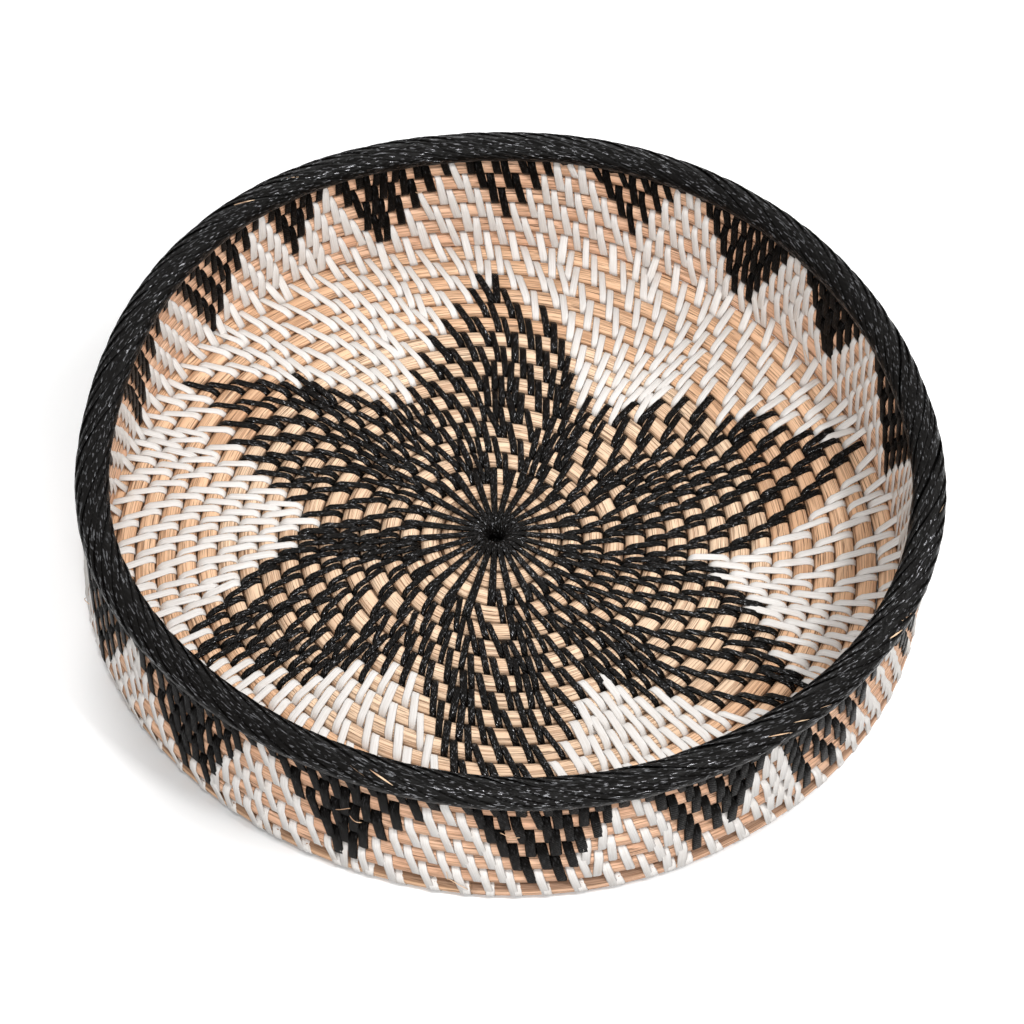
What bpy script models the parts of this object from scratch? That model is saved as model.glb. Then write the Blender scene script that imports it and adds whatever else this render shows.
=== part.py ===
"""Round coiled rattan tray with a low upright wall and a bound rim.

One foundation coil of round rattan core runs out from a small wrapped eye, turn beside turn,
until the floor is full. There it rolls up on its own last turn and climbs the wall, turn on
turn, and its end tapers away under the rim. It is laid in several lengths, each joined to the
next by a long slanting scarf. A thicker hoop closes the top, wrapped all round in dark strips.

Metres, +Z up. The origin is the middle of the footprint on the ground.
"""

import math

import bmesh
import bpy
from mathutils import Vector

MM = 0.001

# Main sizes
TRAY_WIDTH = 401 * MM
WALL_PITCH = 10.5 * MM

# Foundation coil
FLOOR_TURNS = 19
WALL_TURNS = 6
FIRST_RADIUS = 6.4 * MM
TURN_GAP = 0.83 * MM
ROW_GAP = 0.6 * MM
ROLL_BULGE = 1.0 * MM
CORE_FLAT = 0.5
STATIONS = 36
FRONT = math.radians(-90)

# Ends and joints of the coil
COIL_START = 26 / STATIONS
COARSE_UNTIL = 4.5
TAIL_TURNS = 0.5
TAIL_WIDTH = 0.7
SCARF_LENGTH = 30 * MM
SCARF_GAP = 0.4 * MM

# Turns of the coil where one length of core ends and the next begins
FLOOR_JOIN_TURNS = (4.5, 9.4, 13.2, 16.4, FLOOR_TURNS)
WALL_JOIN_TURNS = (21.3, 23.6)

# Wrapped eye, a little off the middle of the tray, as a coil that is judged by hand comes out
EYE_LEFT = 4.4 * MM
EYE_BACK = 2.3 * MM
EYE_HOLE = 1.6 * MM
EYE_GAP = 0.35 * MM
EYE_ROUND = 1.7 * MM

# Rim
HOOP_HALF_WIDTH = 5.9 * MM
HOOP_HALF_HEIGHT = 3.6 * MM
HOOP_STATIONS = 72
SEAT_GAP = 0.45 * MM
BINDING_GAP = 0.4 * MM
BINDING_THICKNESS = 1.1 * MM
BINDING_LOBE = 0.35 * MM
BINDING_STEPS = 108
BINDING_MOUTH = 3.9 * MM
BINDING_OUTER_POINTS = 11

# Sizes that follow from those
OCTAGON_GROW = 1 / math.cos(math.radians(22.5))
BINDING_HALF_WIDTH = (HOOP_HALF_WIDTH + BINDING_GAP) * OCTAGON_GROW + BINDING_THICKNESS
BINDING_HALF_HEIGHT = (HOOP_HALF_HEIGHT + BINDING_GAP) * OCTAGON_GROW + BINDING_THICKNESS
WALL_RADIUS = TRAY_WIDTH / 2 - BINDING_HALF_WIDTH
FLOOR_PITCH = (WALL_RADIUS - FIRST_RADIUS) / FLOOR_TURNS
CORE_HALF = (FLOOR_PITCH - TURN_GAP) / 2
CORE_RISE = (WALL_PITCH - ROW_GAP) / 2
WALL_TOP = CORE_RISE + WALL_TURNS * WALL_PITCH + CORE_RISE
COIL_END = FLOOR_TURNS + WALL_TURNS + TAIL_TURNS
RIM_HEIGHT = WALL_TOP + SEAT_GAP + HOOP_HALF_HEIGHT


def clear_scene():
    for item in list(bpy.data.objects):
        bpy.data.objects.remove(item, do_unlink=True)


def make_material(name, colour, roughness):
    material = bpy.data.materials.new(name)
    material.use_nodes = True
    shader = material.node_tree.nodes["Principled BSDF"]
    shader.inputs["Base Color"].default_value = (*colour, 1.0)
    shader.inputs["Roughness"].default_value = roughness
    shader.inputs["Metallic"].default_value = 0.0
    material.diffuse_color = (*colour, 1.0)
    return material


def finish_object(name, bm, material):
    """Turns the mesh into a named object with smooth round sides and crisp ends."""
    bmesh.ops.recalc_face_normals(bm, faces=bm.faces[:])
    mesh = bpy.data.meshes.new(name)
    bm.to_mesh(mesh)
    bm.free()
    mesh.materials.append(material)
    mesh.shade_smooth()
    mesh.set_sharp_from_angle(angle=math.radians(65))
    item = bpy.data.objects.new(name, mesh)
    bpy.context.scene.collection.objects.link(item)
    return item


def coil_centre(turn):
    """Radius and height of the coil's centre line after this many turns.

    Within each turn the floor grows by one minus a cosine and the wall climbs by a sine, so
    the first wall turn rolls over the last floor turn at one coil's distance all the way.
    """
    whole = math.floor(turn + 1e-9)
    roll = (turn - whole) * math.pi / 2
    bulge = ROLL_BULGE * math.sin(2 * roll)
    if whole < FLOOR_TURNS:
        radius = FIRST_RADIUS + FLOOR_PITCH * (whole + 1 - math.cos(roll)) - bulge
        return radius, CORE_RISE
    climb = WALL_PITCH * (whole - FLOOR_TURNS + math.sin(roll)) + bulge
    return WALL_RADIUS, CORE_RISE + climb


def coil_shift(radius):
    """How far a turn of this radius lies off the middle: most at the eye, nothing at the wall."""
    return Vector((-EYE_LEFT, EYE_BACK, 0)) * (1 - radius / WALL_RADIUS)


def coil_section(turn):
    """Six corners of the core as (outwards, up), from the outer side over the top."""
    _, height = coil_centre(turn)
    low = -CORE_RISE
    high = min(CORE_RISE, WALL_TOP - height)
    half = CORE_HALF
    into_tail = turn - FLOOR_TURNS - WALL_TURNS
    if into_tail > 0:
        half *= 1 - (1 - TAIL_WIDTH) * into_tail / TAIL_TURNS
    middle = (high + low) / 2
    flat = CORE_FLAT * half
    return (
        (half, middle), (flat, high), (-flat, high),
        (-half, middle), (-flat, low), (flat, low),
    )


def station_ring(turn):
    angle = FRONT + 2 * math.pi * turn
    radius, height = coil_centre(turn)
    outwards = Vector((math.cos(angle), math.sin(angle), 0))
    middle = coil_shift(radius) + Vector((0, 0, height))
    return [
        middle + outwards * (radius + out) + Vector((0, 0, up))
        for out, up in coil_section(turn)
    ]


def coil_ring(turn, stations):
    """The ring at any turn, on the straight run between its two neighbouring stations."""
    place = turn * stations
    before = math.floor(place + 1e-6)
    share = place - before
    first = station_ring(before / stations)
    if share < 1e-6:
        return first
    second = station_ring((before + 1) / stations)
    return [a.lerp(b, share) for a, b in zip(first, second)]


def add_tube(bm, rings):
    """Joins the rings into an open tube and returns its rings of vertices."""
    loops = [[bm.verts.new(point) for point in ring] for ring in rings]
    for near, far in zip(loops, loops[1:]):
        count = len(near)
        for k in range(count):
            bm.faces.new((near[k], near[(k + 1) % count], far[(k + 1) % count], far[k]))
    return loops


def scarf_plane(turn, stations):
    """Point and normal of the slanting cut between two lengths, the normal pointing onwards."""
    angle = FRONT + 2 * math.pi * turn
    slant = math.atan2(2 * CORE_RISE, SCARF_LENGTH)
    flat = math.sin(slant)
    normal = Vector((-flat * math.sin(angle), flat * math.cos(angle), math.cos(slant)))
    ring = coil_ring(turn, stations)
    return sum(ring, Vector()) / len(ring), normal


def cut_end(bm, loops, point, normal):
    """Trims the end that these rings cover along a plane and closes it with a flat face."""
    inside = {vertex for loop in loops for vertex in loop}
    faces = {f for v in inside for f in v.link_faces if all(x in inside for x in f.verts)}
    edges = {edge for face in faces for edge in face.edges}
    cut = bmesh.ops.bisect_plane(
        bm, geom=[*inside, *edges, *faces], dist=1e-7, plane_co=point, plane_no=normal,
        clear_outer=True,
    )
    rim = [x for x in cut["geom_cut"] if isinstance(x, bmesh.types.BMEdge)]
    bmesh.ops.contextual_create(bm, geom=rim)


def scarf_reach(turn, stations):
    """Stations that the slanting cut reaches to each side of its middle, and one more."""
    half = 0.5 * SCARF_LENGTH / (2 * math.pi * coil_centre(turn)[0])
    return math.ceil(1.2 * half * stations) + 1


def core_length(name, start, end, material):
    """One length of round core along the coil, with a scarf or a square end at each side."""
    stations = STATIONS // 2 if end <= COARSE_UNTIL else STATIONS
    scarf_start = start > COIL_START
    scarf_end = end < COIL_END
    before = scarf_reach(start, stations) if scarf_start else 0
    after = scarf_reach(end, stations) if scarf_end else 0
    first = round(start * stations) - before
    last = round(end * stations) + after
    places = [k / stations for k in range(first, last + 1)]
    if not scarf_start:
        places[0] = start + EYE_GAP / (2 * math.pi * coil_centre(start)[0])
    rings = [coil_ring(place, stations) for place in places]
    bm = bmesh.new()
    loops = add_tube(bm, rings)
    if scarf_start:
        point, normal = scarf_plane(start, stations)
        cut_end(bm, loops[: 2 * before + 1], point + normal * SCARF_GAP / 2, -normal)
    else:
        bm.faces.new(loops[0])
    if scarf_end:
        point, normal = scarf_plane(end, stations)
        cut_end(bm, loops[-2 * after - 1:], point - normal * SCARF_GAP / 2, normal)
    else:
        bm.faces.new(loops[-1])
    return finish_object(name, bm, material)


def eye_ring(turn):
    """Section of the wrapped eye, from its small hole out to the first turn of the coil."""
    angle = FRONT + 2 * math.pi * turn
    outer = coil_ring(turn, STATIONS // 2)
    middle = coil_shift(0)
    reach = sum((v - middle).to_2d().length for v in outer) / len(outer)
    reach -= CORE_HALF + EYE_GAP
    outwards = Vector((math.cos(angle), math.sin(angle), 0))
    corners = (
        (EYE_HOLE, 0.45), (EYE_HOLE + EYE_ROUND, 1.0), (reach - EYE_ROUND, 1.0),
        (reach, 0.4), (reach, -0.4), (reach - EYE_ROUND, -1.0),
        (EYE_HOLE + EYE_ROUND, -1.0), (EYE_HOLE, -0.45),
    )
    return [
        middle + outwards * out + Vector((0, 0, CORE_RISE * (1 + up)))
        for out, up in corners
    ]


def make_eye(material):
    """A snail-shaped ring: its outer edge follows the coil, which starts at its step."""
    count = STATIONS // 2
    rings = [eye_ring(COIL_START + k / count) for k in range(count + 1)]
    bm = bmesh.new()
    loops = add_tube(bm, rings)
    size = len(loops[0])
    for k in range(size):
        following = (k + 1) % size
        quad = (loops[-1][k], loops[-1][following], loops[0][following], loops[0][k])
        bm.faces.new(quad)
    bmesh.ops.remove_doubles(bm, verts=bm.verts[:], dist=1e-6)
    return finish_object("centre_eye", bm, material)


def oval(half_width, half_height, angle):
    return half_width * math.cos(angle), half_height * math.sin(angle)


def hoop_corners(clearance):
    """Eight corners round the hoop's section, moved out by the clearance."""
    wide = (HOOP_HALF_WIDTH + clearance) * OCTAGON_GROW
    tall = (HOOP_HALF_HEIGHT + clearance) * OCTAGON_GROW
    return [oval(wide, tall, math.radians(45 * k - 67.5)) for k in range(8)]


def rim_point(angle, out, up):
    reach = WALL_RADIUS + out
    return Vector((reach * math.cos(angle), reach * math.sin(angle), RIM_HEIGHT + up))


def make_hoop(material):
    """The thick rim hoop, bent round until its two slanting ends lie on each other."""
    step = 2 * math.pi / HOOP_STATIONS
    bm = bmesh.new()
    loops = add_tube(bm, [
        [rim_point(k * step, *corner) for corner in hoop_corners(0)]
        for k in range(-3, HOOP_STATIONS + 4)
    ])
    slant = math.atan2(2 * HOOP_HALF_HEIGHT, 1.5 * SCARF_LENGTH)
    normal = Vector((0, math.sin(slant), math.cos(slant)))
    middle = Vector((WALL_RADIUS, 0, RIM_HEIGHT))
    cut_end(bm, loops[:7], middle + normal * SCARF_GAP / 2, -normal)
    cut_end(bm, loops[-7:], middle - normal * SCARF_GAP / 2, normal)
    return finish_object("rim_core", bm, material)


def binding_inside():
    """Inner corners of the wrapping: the hoop's own, cut short at the mouth over the wall."""
    corners = hoop_corners(BINDING_GAP)
    low, side = corners[0], corners[1]
    share = (BINDING_MOUTH - low[0]) / (side[0] - low[0])
    lip = low[1] + share * (side[1] - low[1])
    return [(BINDING_MOUTH, lip), *corners[1:-1], (-BINDING_MOUTH, lip)]


def binding_outside(step):
    """Outer corners, every second one drawn in so that slanting strips stand out."""
    wide = BINDING_HALF_WIDTH
    tall = BINDING_HALF_HEIGHT
    start = -math.acos(BINDING_MOUTH / wide)
    spread = (math.pi - 2 * start) / (BINDING_OUTER_POINTS - 1)
    corners = []
    for k in range(BINDING_OUTER_POINTS):
        drawn = BINDING_LOBE * ((step + k) % 2)
        if k in (0, BINDING_OUTER_POINTS - 1):
            drawn = 0
        corners.append(oval(wide - drawn, tall - drawn, start + spread * k))
    return corners


def make_binding(material):
    """Strips wrapped close round the hoop, open below where they straddle the wall.

    The wrapping slants: each strip comes over the top as it goes round and down outside, so
    the raised lines run along the corners whose step and corner numbers add up the same.
    """
    inside = binding_inside()[::-1]
    bm = bmesh.new()
    loops = []
    for step in range(BINDING_STEPS):
        angle = 2 * math.pi * step / BINDING_STEPS
        section = (*binding_outside(step), *inside)
        loops.append([bm.verts.new(rim_point(angle, *corner)) for corner in section])
    size = len(loops[0])
    for step in range(BINDING_STEPS):
        near = loops[step]
        far = loops[(step + 1) % BINDING_STEPS]
        for k in range(size):
            following = (k + 1) % size
            bm.faces.new((near[k], near[following], far[k]))
            bm.faces.new((near[following], far[following], far[k]))
    return finish_object("rim_binding", bm, material)


def least_gap():
    """Least gap between the coil and its own next turn, on the corners at each station."""
    least = 1.0
    steps = round((COIL_END - COIL_START - 1) * STATIONS)
    for k in range(steps + 1):
        turn = COIL_START + k / STATIONS
        angle = FRONT + 2 * math.pi * turn
        outwards = Vector((math.cos(angle), math.sin(angle), 0))
        rings = [
            [Vector((point.dot(outwards), point.z)) for point in station_ring(place)]
            for place in (turn, turn + 1)
        ]
        for one, other in (rings, rings[::-1]):
            for corner in one:
                for a, b in zip(other, other[1:] + other[:1]):
                    side = b - a
                    share = max(0.0, min(1.0, (corner - a).dot(side) / side.length_squared))
                    least = min(least, (corner - a - side * share).length)
    return least


def main():
    clear_scene()
    core = make_material("rattan_core", (0.62, 0.40, 0.22), 0.55)
    dark = make_material("black_strip", (0.012, 0.012, 0.013), 0.42)
    make_eye(dark)
    start = COIL_START
    for number, end in enumerate(FLOOR_JOIN_TURNS, 1):
        core_length(f"floor_core_{number}", start, end, core)
        start = end
    for number, end in enumerate((*WALL_JOIN_TURNS, COIL_END), 1):
        core_length(f"wall_core_{number}", start, end, core)
        start = end
    make_hoop(core)
    make_binding(dark)
    print(f"least gap between turns of the coil: {least_gap() * 1000:.2f} mm")
    print(f"coil pitch on the floor: {FLOOR_PITCH * 1000:.2f} mm")


main()
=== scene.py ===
# %% [markdown]
# # A coiled rattan tray, stitched in black and white
#
# A coiled tray is one long round rattan core, laid turn beside turn and sewn to itself. Each
# stitch is a flat strip that goes round two turns at once: the new one and the one before.
# The floor carries a black six-petalled star, the wall a ring of black triangles, and the top
# a thick hoop bound in black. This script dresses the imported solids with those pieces.

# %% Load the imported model
import math

import bpy
import numpy as np
from mathutils import Matrix, Vector


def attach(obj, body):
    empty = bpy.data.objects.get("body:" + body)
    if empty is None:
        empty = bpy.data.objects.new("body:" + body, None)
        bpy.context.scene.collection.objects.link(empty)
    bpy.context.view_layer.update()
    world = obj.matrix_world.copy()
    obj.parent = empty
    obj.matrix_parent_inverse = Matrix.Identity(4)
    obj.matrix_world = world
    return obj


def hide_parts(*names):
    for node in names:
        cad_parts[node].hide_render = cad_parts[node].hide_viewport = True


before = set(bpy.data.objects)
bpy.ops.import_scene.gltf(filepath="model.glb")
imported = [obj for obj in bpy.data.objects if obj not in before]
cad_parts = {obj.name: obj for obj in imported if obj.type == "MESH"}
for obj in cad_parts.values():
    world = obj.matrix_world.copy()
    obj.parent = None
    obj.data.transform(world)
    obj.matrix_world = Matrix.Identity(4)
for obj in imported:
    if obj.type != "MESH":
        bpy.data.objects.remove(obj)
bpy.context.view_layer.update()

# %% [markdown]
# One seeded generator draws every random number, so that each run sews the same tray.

bpy.ops.object.select_all(action="DESELECT")
rng = np.random.default_rng(seed=11)
MM = 0.001

# %% [markdown]
# ## Camera
#
# The camera looks down at the tray from the front through a long lens, turned a little about
# its own axis, as the photograph is. It comes first, so that every piece can be looked at in
# the frame that counts.

# %% Camera
CAMERA_AIM = Vector((2.5, 23.6, 0)) * MM
CAMERA_DISTANCE = 1.927
CAMERA_RISE = math.radians(51.47)
CAMERA_ROLL = math.radians(5.36)
CAMERA_LENS, CAMERA_SENSOR = 141.4, 36

back = Vector((0, -math.cos(CAMERA_RISE), math.sin(CAMERA_RISE)))
up = Vector((0, math.sin(CAMERA_RISE), math.cos(CAMERA_RISE)))
right = Vector((1, 0, 0))
turned_right = right * math.cos(CAMERA_ROLL) + up * math.sin(CAMERA_ROLL)
turned_up = up * math.cos(CAMERA_ROLL) - right * math.sin(CAMERA_ROLL)
camera = bpy.data.objects.new("camera", bpy.data.cameras.new("camera"))
camera.data.lens = CAMERA_LENS
camera.data.sensor_width = CAMERA_SENSOR
camera.matrix_world = Matrix.Translation(CAMERA_AIM + back * CAMERA_DISTANCE) @ Matrix(
    (turned_right, turned_up, back)
).transposed().to_4x4()
bpy.context.scene.collection.objects.link(camera)
bpy.context.scene.camera = camera
print("camera at", [round(x, 3) for x in camera.matrix_world.translation])

# %% [markdown]
# ## The line that everything follows
#
# The core is a spiral that never jumps a turn. On the floor it moves outwards and on the wall
# it climbs, both by a quarter of a cosine wave in each turn, so that the first wall turn can
# roll over the last floor turn. Halfway through its step a floor turn lies a little further
# in, as it does in the solids, and this fades out before the last one. The eye sits a little
# off the middle, as hand work does. The numbers repeat those of the solids, because this
# script can't read the file they come from.

# %% The coil's centre line
FLOOR_TURNS = 19
FIRST_RADIUS = 6.4 * MM
WALL_RADIUS = 192.58 * MM
FLOOR_PITCH = (WALL_RADIUS - FIRST_RADIUS) / FLOOR_TURNS
WALL_PITCH = 10.5 * MM
ROLL_BULGE, ROLL_BULGE_END = 1.0 * MM, 18.2
CORE_RISE = 4.95 * MM
WALL_TOP = 72.9 * MM
RIM_HEIGHT = 76.95 * MM
EYE_LEFT = 4.4 * MM
EYE_BACK = 2.3 * MM
FRONT = -math.pi / 2
COIL_START = 26 / 36
COIL_END = 25.5


def ray(turn):
    """Unit vectors outwards and onwards at these turns."""
    angle = FRONT + 2 * np.pi * turn
    zero = np.zeros_like(angle)
    outwards = np.stack([np.cos(angle), np.sin(angle), zero], -1)
    onwards = np.stack([-np.sin(angle), np.cos(angle), zero], -1)
    return outwards, onwards


print("on the floor each turn lies", round(FLOOR_PITCH / MM, 2), "mm outside the one before")

# %% [markdown]
# Hand work is never quite round. A short list says by how many millimetres the wall stands
# out at some places round the tray. Between them it is read four times, side by side, and the
# mean of the readings rounds off the corners of the list.

# %% Out of round, and points on the coil
# Degrees round the tray from its right, and millimetres outwards there
OUT_OF_ROUND = (
    (0, 0.7), (15, -1.6), (35, 0.0), (58, 2.4), (80, 0.9), (100, -3.2), (118, -1.7),
    (132, -0.1), (152, -1.8), (164, -3.3), (178, -4.2), (188, -1.4), (196, 2.8),
    (204, 4.4), (214, 4.8), (228, 3.0), (245, 1.2), (310, -1.2), (335, 0.6),
)
READINGS = (-9, -3, 3, 9)


def out_of_round(turn):
    """How far outwards the wall stands at these turns."""
    knots, bumps = np.array(OUT_OF_ROUND, float).T
    angle = 270 + 360 * np.asarray(turn, float)
    near = [np.interp(angle + shift, knots, bumps, period=360) for shift in READINGS]
    return np.mean(near, axis=0) * MM


def coil_radius(turn):
    """Radius of the coil's centre line after these many turns."""
    whole = np.floor(turn + 1e-9)
    roll = (turn - whole) * np.pi / 2
    grown = FIRST_RADIUS + FLOOR_PITCH * (whole + 1 - np.cos(roll))
    grown = grown - ROLL_BULGE * np.sin(2 * roll) * np.clip(ROLL_BULGE_END - turn, 0, 1)
    return np.where(whole < FLOOR_TURNS, grown, WALL_RADIUS)


def coil_point(turn):
    """Points of the coil's centre line after these many turns."""
    turn = np.asarray(turn, float)
    whole = np.floor(turn + 1e-9)
    roll = (turn - whole) * np.pi / 2
    climb = WALL_PITCH * (whole - FLOOR_TURNS + np.sin(roll))
    radius = coil_radius(turn)
    reach = radius / WALL_RADIUS
    point = (radius + out_of_round(turn) * reach**4)[..., None] * ray(turn)[0]
    point[..., 0] -= EYE_LEFT * (1 - reach)
    point[..., 1] += EYE_BACK * (1 - reach)
    point[..., 2] = CORE_RISE + np.where(whole < FLOOR_TURNS, 0, climb)
    return point


def rim_point(turn, out, up):
    """Points round the rim, this far outwards and upwards from the middle of its hoop."""
    reach = WALL_RADIUS + out_of_round(turn) + out
    point = reach[..., None] * ray(turn)[0]
    point[..., 2] = RIM_HEIGHT + up
    return point


print("last floor turn ends at radius", coil_radius(np.array([FLOOR_TURNS - 0.001]))[0])

# %% [markdown]
# ## Strips and rods from one flat grid
#
# A strip, a rod and the binding differ only in section and path. Each form is therefore
# modelled once, straight, with the grid tool: the grid is rolled into a tube, its seam merged
# and its ends filled in edit mode. Laying a copy along a path is then a matter of moving its
# vertices, and all the copies of one colour become one piece.

# %% A straight form, modelled once
def straight_form(stations, section):
    """A closed tube of unit stations whose corners carry their station and corner number."""
    corners = len(section)
    bpy.ops.object.select_all(action="DESELECT")
    bpy.ops.mesh.primitive_grid_add(
        x_subdivisions=stations - 1, y_subdivisions=corners, size=2, calc_uvs=True
    )
    grid = bpy.context.object
    place = np.empty(len(grid.data.vertices) * 3)
    grid.data.vertices.foreach_get("co", place)
    place = place.reshape(-1, 3)
    angle = (place[:, 1] + 1) * np.pi
    place[:, 1], place[:, 2] = np.cos(angle), np.sin(angle)
    grid.data.vertices.foreach_set("co", place.ravel())
    bpy.ops.object.mode_set(mode="EDIT")
    bpy.ops.mesh.select_all(action="SELECT")
    bpy.ops.mesh.remove_doubles(threshold=1e-5)
    bpy.ops.mesh.fill_holes(sides=corners)
    bpy.ops.object.mode_set(mode="OBJECT")
    mesh = grid.data
    place = np.empty(len(mesh.vertices) * 3)
    mesh.vertices.foreach_get("co", place)
    place = place.reshape(-1, 3)
    turned = np.arctan2(place[:, 2], place[:, 1]) / (2 * np.pi) * corners
    loops = np.empty(len(mesh.loops), np.int32)
    mesh.loops.foreach_get("vertex_index", loops)
    sizes = np.empty(len(mesh.polygons), np.int32)
    mesh.polygons.foreach_get("loop_total", sizes)
    flat = np.empty(len(mesh.loops) * 2)
    mesh.uv_layers[0].data.foreach_get("uv", flat)
    form = {
        "section": np.asarray(section, float),
        "station": np.round((place[:, 0] + 1) / 2 * (stations - 1)).astype(int),
        "corner": np.round(turned).astype(int) % corners,
        "loops": loops,
        "sizes": sizes,
        "round": flat.reshape(-1, 2)[:, 1],
    }
    bpy.data.objects.remove(grid, do_unlink=True)
    return form


# %% [markdown]
# Hundreds of strips would be slow as hundreds of objects, so all the copies of one colour
# share one mesh. A copy keeps the form's faces and only shifts their numbers.

# %% One mesh of many copies
def unit(vectors):
    return vectors / np.linalg.norm(vectors, axis=-1, keepdims=True)


def mesh_of_copies(name, form, points):
    """A mesh with one copy of the form for each row of points."""
    copies, count = points.shape[:2]
    copy = np.arange(copies)[:, None]
    corners = copy * count + form["loops"]
    starts = copy * len(form["loops"]) + np.cumsum(form["sizes"]) - form["sizes"]
    mesh = bpy.data.meshes.new(name)
    mesh.vertices.add(copies * count)
    mesh.vertices.foreach_set("co", points.ravel())
    mesh.loops.add(corners.size)
    mesh.loops.foreach_set("vertex_index", corners.ravel().astype(np.int32))
    mesh.polygons.add(starts.size)
    mesh.polygons.foreach_set("loop_start", starts.ravel().astype(np.int32))
    mesh.update(calc_edges=True)
    mesh.validate()
    return mesh


def is_inside_out(form, points):
    """Whether the faces of one copy point inwards, which the sign of its volume tells."""
    spokes = points[form["loops"]] - points.mean(axis=0)
    volume, at = 0.0, 0
    for size in form["sizes"]:
        fan = spokes[at:at + size]
        volume += sum(np.dot(fan[0], np.cross(fan[k], fan[k + 1])) for k in range(1, size - 1))
        at += size
    return volume < 0


# %% [markdown]
# A copy is laid by moving the form's stations to the points of its path. Two directions there
# carry the section: one along the surface that the strip lies on, and one away from it. Each
# copy's pattern starts somewhere else, so that no two strips look alike.

# %% Laying copies of a form along paths
PATTERN_SHIFT, PATTERN_LENGTH = 0.1731, 3


def lay(name, form, path, outside, width, thick, tone, by_width=True):
    """One piece of many copies: path and outside are (copies, stations, 3) arrays.

    The section's first number runs across the strip in widths, its second away from what the
    strip lies on, in thicknesses. The UV map holds the length in metres along the strip, and
    across it either metres or the share of the way round.
    """
    copies, stations = path.shape[:2]
    width = np.broadcast_to(width, (copies, stations))
    thick = np.broadcast_to(thick, (copies, stations))
    onwards = unit(np.gradient(path, axis=1))
    across = unit(np.cross(onwards, outside))
    away = np.cross(across, onwards)
    station, corner = form["station"], form["corner"]
    section = form["section"]
    shift_a = width[:, station] * section[corner, 0]
    shift_b = thick[:, station] * section[corner, 1]
    points = path[:, station] + across[:, station] * shift_a[..., None]
    points = points + away[:, station] * shift_b[..., None]
    step = np.linalg.norm(np.diff(path, axis=1), axis=-1)
    length = np.concatenate([np.zeros((copies, 1)), np.cumsum(step, axis=1)], axis=1)
    length = length + (np.arange(copies) * PATTERN_SHIFT % PATTERN_LENGTH)[:, None]
    along = length[:, station[form["loops"]]]
    if by_width:
        over = shift_a[:, form["loops"]]
    else:
        over = np.broadcast_to(form["round"], along.shape)
    mesh = mesh_of_copies(name, form, points)
    mesh.uv_layers.new(name="lay")
    mesh.uv_layers["lay"].data.foreach_set("uv", np.stack([along, over], -1).ravel())
    shade = mesh.attributes.new("tone", "FLOAT", "POINT")
    shade.data.foreach_set("value", np.repeat(tone, len(station)).astype(np.float32))
    mesh.shade_smooth()
    if is_inside_out(form, points[0]):
        mesh.flip_normals()
    piece = bpy.data.objects.new(name, mesh)
    bpy.context.scene.collection.objects.link(piece)
    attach(piece, "root")
    print(name, copies, "copies,", len(mesh.polygons), "faces")
    return piece


# %% [markdown]
# ## Finishes
#
# A finish is a small shader graph. To keep it readable, a socket is wrapped in a class that
# can be added and multiplied, and every other node comes from one method. The finishes of the
# strips and the world round the tray are then written the same way.

# %% Numbers in a shader graph
class Value:
    """One output socket that behaves like a number."""

    def __init__(self, graph, socket):
        self.graph, self.socket = graph, socket

    def __add__(self, other):
        return self.graph.math("ADD", self, other)

    def __sub__(self, other):
        return self.graph.math("SUBTRACT", self, other)

    def __rsub__(self, other):
        return self.graph.math("SUBTRACT", other, self)

    def __mul__(self, other):
        return self.graph.math("MULTIPLY", self, other)

    def __truediv__(self, other):
        return self.graph.math("DIVIDE", self, other)

    def __rtruediv__(self, other):
        return self.graph.math("DIVIDE", other, self)

    __radd__ = __add__
    __rmul__ = __mul__


# %% [markdown]
# A graph makes its nodes by their type, their settings and what goes into their sockets. The
# few nodes that most finishes share have short names of their own.

# %% Nodes of a shader graph
class Graph:
    """The node tree of a finish or of the world."""

    def __init__(self, tree):
        self.tree = tree

    def node(self, kind, settings, sockets, out=0):
        made = self.tree.nodes.new(kind)
        for name, value in settings.items():
            setattr(made, name, value)
        for name, value in sockets.items():
            self.plug(made.inputs[name], value)
        return Value(self, made.outputs[out])

    def plug(self, socket, value):
        if isinstance(value, Value):
            self.tree.links.new(value.socket, socket)
        else:
            socket.default_value = value

    def math(self, operation, *values):
        return self.node("ShaderNodeMath", {"operation": operation}, dict(enumerate(values)))

    def noise(self, vector, detail=2.0, roughness=0.5):
        sockets = {"Vector": vector, "Scale": 1.0, "Detail": detail, "Roughness": roughness}
        return self.node("ShaderNodeTexNoise", {"noise_dimensions": "3D"}, sockets)

    def vector(self, x, y, z):
        return self.node("ShaderNodeCombineXYZ", {}, {0: x, 1: y, 2: z})

    def range(self, value, low, high, to_low=0.0, to_high=1.0):
        sockets = {0: value, 1: low, 2: high, 3: to_low, 4: to_high}
        return self.node("ShaderNodeMapRange", {"interpolation_type": "SMOOTHSTEP"}, sockets)

    def mix(self, factor, first, second):
        settings = {"data_type": "RGBA", "blend_type": "MIX", "clamp_factor": True}
        sockets = {0: factor, 6: first, 7: second}
        return self.node("ShaderNodeMix", settings, sockets, out=2)

    def bump(self, height, distance):
        return self.node("ShaderNodeBump", {}, {"Height": height, "Distance": distance})


# %% [markdown]
# A finish is a graph that ends in the Principled shader. What is the same all over a strip is
# a constant on the shader itself, and what changes over it is linked.

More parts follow.
